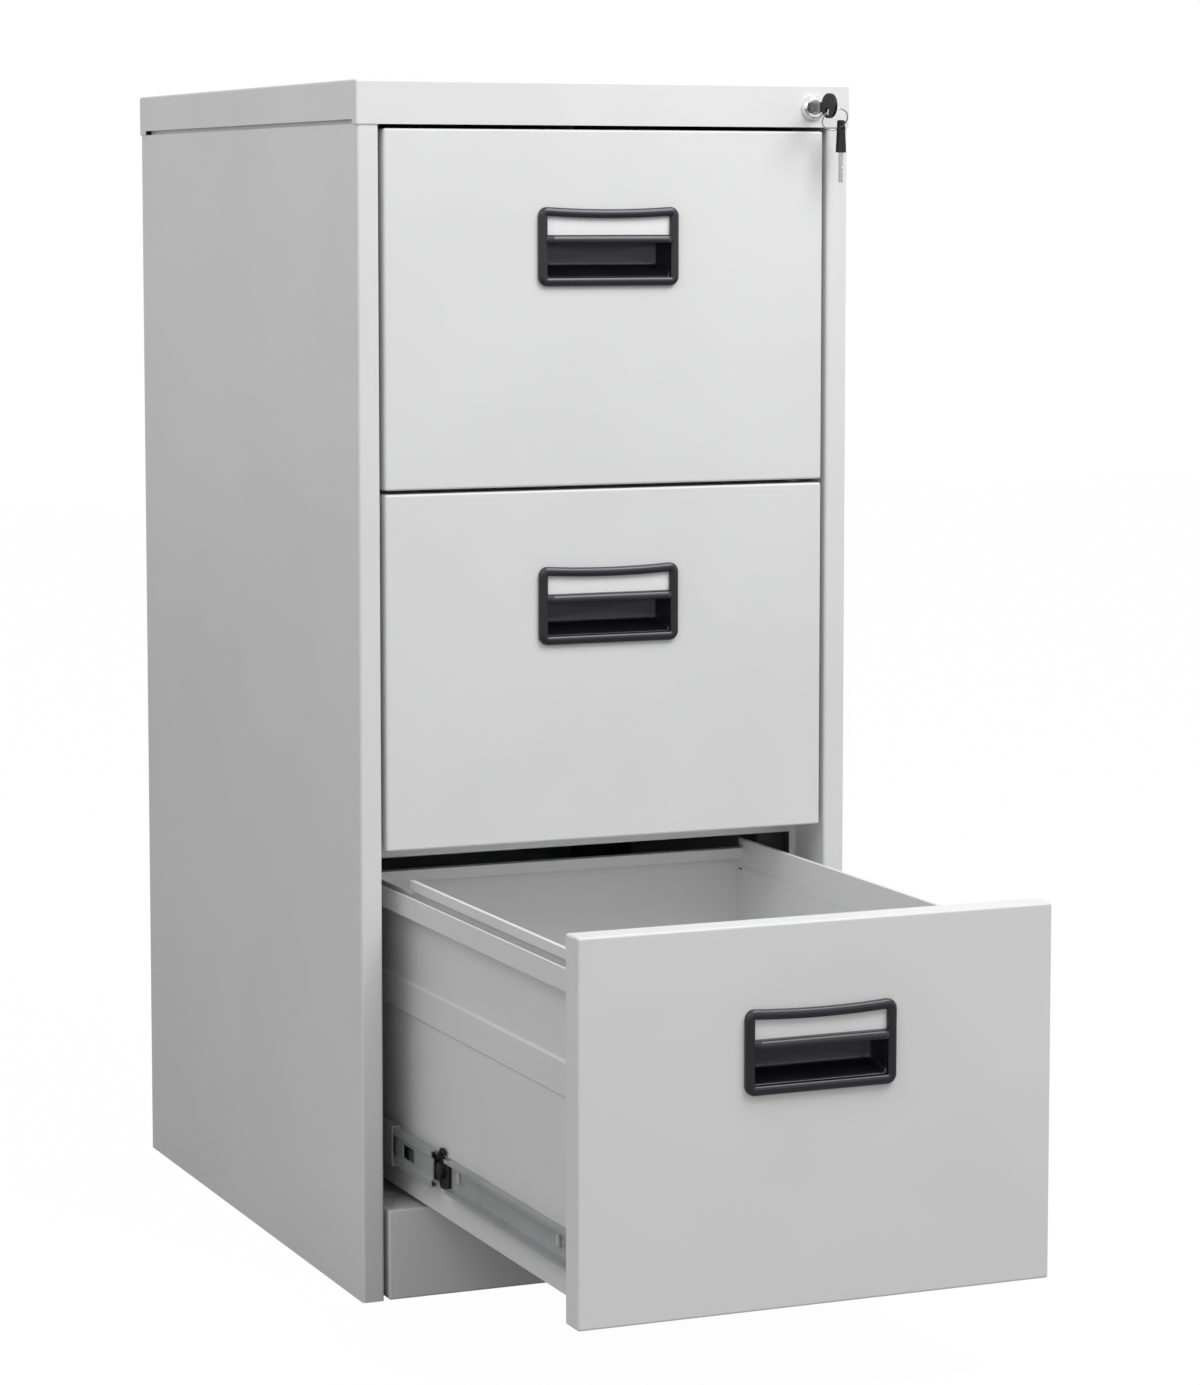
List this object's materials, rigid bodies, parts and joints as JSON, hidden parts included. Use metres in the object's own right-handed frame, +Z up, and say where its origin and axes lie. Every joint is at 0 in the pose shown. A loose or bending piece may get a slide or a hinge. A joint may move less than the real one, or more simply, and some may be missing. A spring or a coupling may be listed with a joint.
{
  "type": "filing cabinet",
  "caption": "Light grey sheet-steel filing cabinet with deep drawers on telescopic slides, recessed black pulls, a key lock in the top cap and a lock bar",
  "frame": {"origin": "on the floor, on the centre line, 12 mm behind the plane of the stiles and closed drawer fronts, in the floor face of the plinth", "axes": "X to the right seen from the front, Y to the back, Z up"},
  "size_m": [0.4572, 1.0621, 1.04],
  "materials": {
    "light_grey_paint": "fine powder coat, satin",
    "zinc_steel": "zinc plated",
    "black_gloss_plastic": "gloss",
    "black_plastic": "satin",
    "rubber": "matt",
    "chrome": "polished",
    "key_steel": "nickel plated",
    "card": "blank card"
  },
  "bodies": {
    "carcass": {"left_side_panel": "light_grey_paint", "right_side_panel": "light_grey_paint", "back_panel": "light_grey_paint", "top_cap": "light_grey_paint", "base_deck": "light_grey_paint", "kick_panel": "light_grey_paint", "top_rail": "light_grey_paint", "cross_rail_lower": "light_grey_paint", "cross_rail_upper": "light_grey_paint", "front_upright_left": "light_grey_paint", "front_upright_right": "light_grey_paint", "rear_upright_left": "light_grey_paint", "rear_upright_right": "light_grey_paint", "rubber_bumpers": "rubber", "slide_outer_1": "zinc_steel", "slide_outer_2": "zinc_steel", "slide_outer_3": "zinc_steel", "slide_screws": "zinc_steel", "lock_barrel": "chrome", "lock_nut": "zinc_steel", "lock_bar_guides": "zinc_steel"},
    "slide_middle_3": {"slide_middle_3": "zinc_steel"},
    "drawer_3": {"drawer_front_3": "light_grey_paint", "drawer_liner_3": "light_grey_paint", "drawer_body_3": "light_grey_paint", "drawer_back_3": "light_grey_paint", "handle_3": "black_gloss_plastic", "label_card_3": "card", "slide_inner_3": "zinc_steel"},
    "lever_left_3": {"release_lever_left_3": "black_plastic"},
    "lever_right_3": {"release_lever_right_3": "black_plastic"},
    "slide_middle_2": {"slide_middle_2": "zinc_steel"},
    "drawer_2": {"drawer_front_2": "light_grey_paint", "drawer_liner_2": "light_grey_paint", "drawer_body_2": "light_grey_paint", "drawer_back_2": "light_grey_paint", "handle_2": "black_gloss_plastic", "label_card_2": "card", "slide_inner_2": "zinc_steel"},
    "lever_left_2": {"release_lever_left_2": "black_plastic"},
    "lever_right_2": {"release_lever_right_2": "black_plastic"},
    "slide_middle_1": {"slide_middle_1": "zinc_steel"},
    "drawer_1": {"drawer_front_1": "light_grey_paint", "drawer_liner_1": "light_grey_paint", "drawer_body_1": "light_grey_paint", "drawer_back_1": "light_grey_paint", "handle_1": "black_gloss_plastic", "label_card_1": "card", "slide_inner_1": "zinc_steel"},
    "lever_left_1": {"release_lever_left_1": "black_plastic"},
    "lever_right_1": {"release_lever_right_1": "black_plastic"},
    "lock_plug": {"lock_plug": "chrome", "lock_cam": "zinc_steel", "key_blade": "key_steel", "key_bow": "black_plastic"},
    "lock_bar": {"lock_bar": "zinc_steel"},
    "key_ring": {"key_ring": "key_steel"},
    "spare_key": {"spare_key_head": "black_plastic", "spare_key_blade": "key_steel"}
  },
  "joints": [
    {"name": "slide_middle_3_travel", "type": "slide", "parent": "carcass", "child": "slide_middle_3", "axis": [0, -1, 0], "range_m": [-0.092, 0.078]},
    {"name": "drawer_3_travel", "type": "slide", "parent": "slide_middle_3", "child": "drawer_3", "axis": [0, -1, 0], "range_m": [-0.33, 0]},
    {"name": "lever_left_3_pivot", "type": "hinge", "parent": "drawer_3", "child": "lever_left_3", "pos_m": [-0.1818, -0.082, 0.127], "axis": [1, 0, 0], "range_deg": [0, 10]},
    {"name": "lever_right_3_pivot", "type": "hinge", "parent": "drawer_3", "child": "lever_right_3", "pos_m": [0.1818, -0.082, 0.127], "axis": [1, 0, 0], "range_deg": [0, 10]},
    {"name": "slide_middle_2_travel", "type": "slide", "parent": "carcass", "child": "slide_middle_2", "axis": [0, -1, 0], "range_m": [0, 0.17]},
    {"name": "drawer_2_travel", "type": "slide", "parent": "slide_middle_2", "child": "drawer_2", "axis": [0, -1, 0], "range_m": [0, 0.33]},
    {"name": "lever_left_2_pivot", "type": "hinge", "parent": "drawer_2", "child": "lever_left_2", "pos_m": [-0.1818, 0.34, 0.434], "axis": [1, 0, 0], "range_deg": [0, 10]},
    {"name": "lever_right_2_pivot", "type": "hinge", "parent": "drawer_2", "child": "lever_right_2", "pos_m": [0.1818, 0.34, 0.434], "axis": [1, 0, 0], "range_deg": [0, 10]},
    {"name": "slide_middle_1_travel", "type": "slide", "parent": "carcass", "child": "slide_middle_1", "axis": [0, -1, 0], "range_m": [0, 0.17]},
    {"name": "drawer_1_travel", "type": "slide", "parent": "slide_middle_1", "child": "drawer_1", "axis": [0, -1, 0], "range_m": [0, 0.33]},
    {"name": "lever_left_1_pivot", "type": "hinge", "parent": "drawer_1", "child": "lever_left_1", "pos_m": [-0.1818, 0.34, 0.741], "axis": [1, 0, 0], "range_deg": [0, 10]},
    {"name": "lever_right_1_pivot", "type": "hinge", "parent": "drawer_1", "child": "lever_right_1", "pos_m": [0.1818, 0.34, 0.741], "axis": [1, 0, 0], "range_deg": [0, 10]},
    {"name": "lock_plug_turn", "type": "hinge", "parent": "carcass", "child": "lock_plug", "pos_m": [0.1933, 0, 1.02], "axis": [0, -1, 0], "range_deg": [0, 90]},
    {"name": "lock_bar_travel", "type": "slide", "parent": "carcass", "child": "lock_bar", "axis": [0, 0, -1], "range_m": [0, 0.008]},
    {"name": "key_ring_swing", "type": "hinge", "parent": "lock_plug", "child": "key_ring", "pos_m": [0.1933, -0.043, 1.01565], "axis": [0, -1, 0], "range_deg": [-90, 0]},
    {"name": "spare_key_swing", "type": "hinge", "parent": "key_ring", "child": "spare_key", "pos_m": [0.21025, -0.034, 1.003], "axis": [0, -1, 0], "range_deg": [0, 30]}
  ],
  "couplings": [
    {"joint": "lock_plug_turn", "follows": "lock_bar_travel", "rad_per_m": 196.35},
    {"joint": "key_ring_swing", "follows": "lock_bar_travel", "rad_per_m": -196.35}
  ]
}
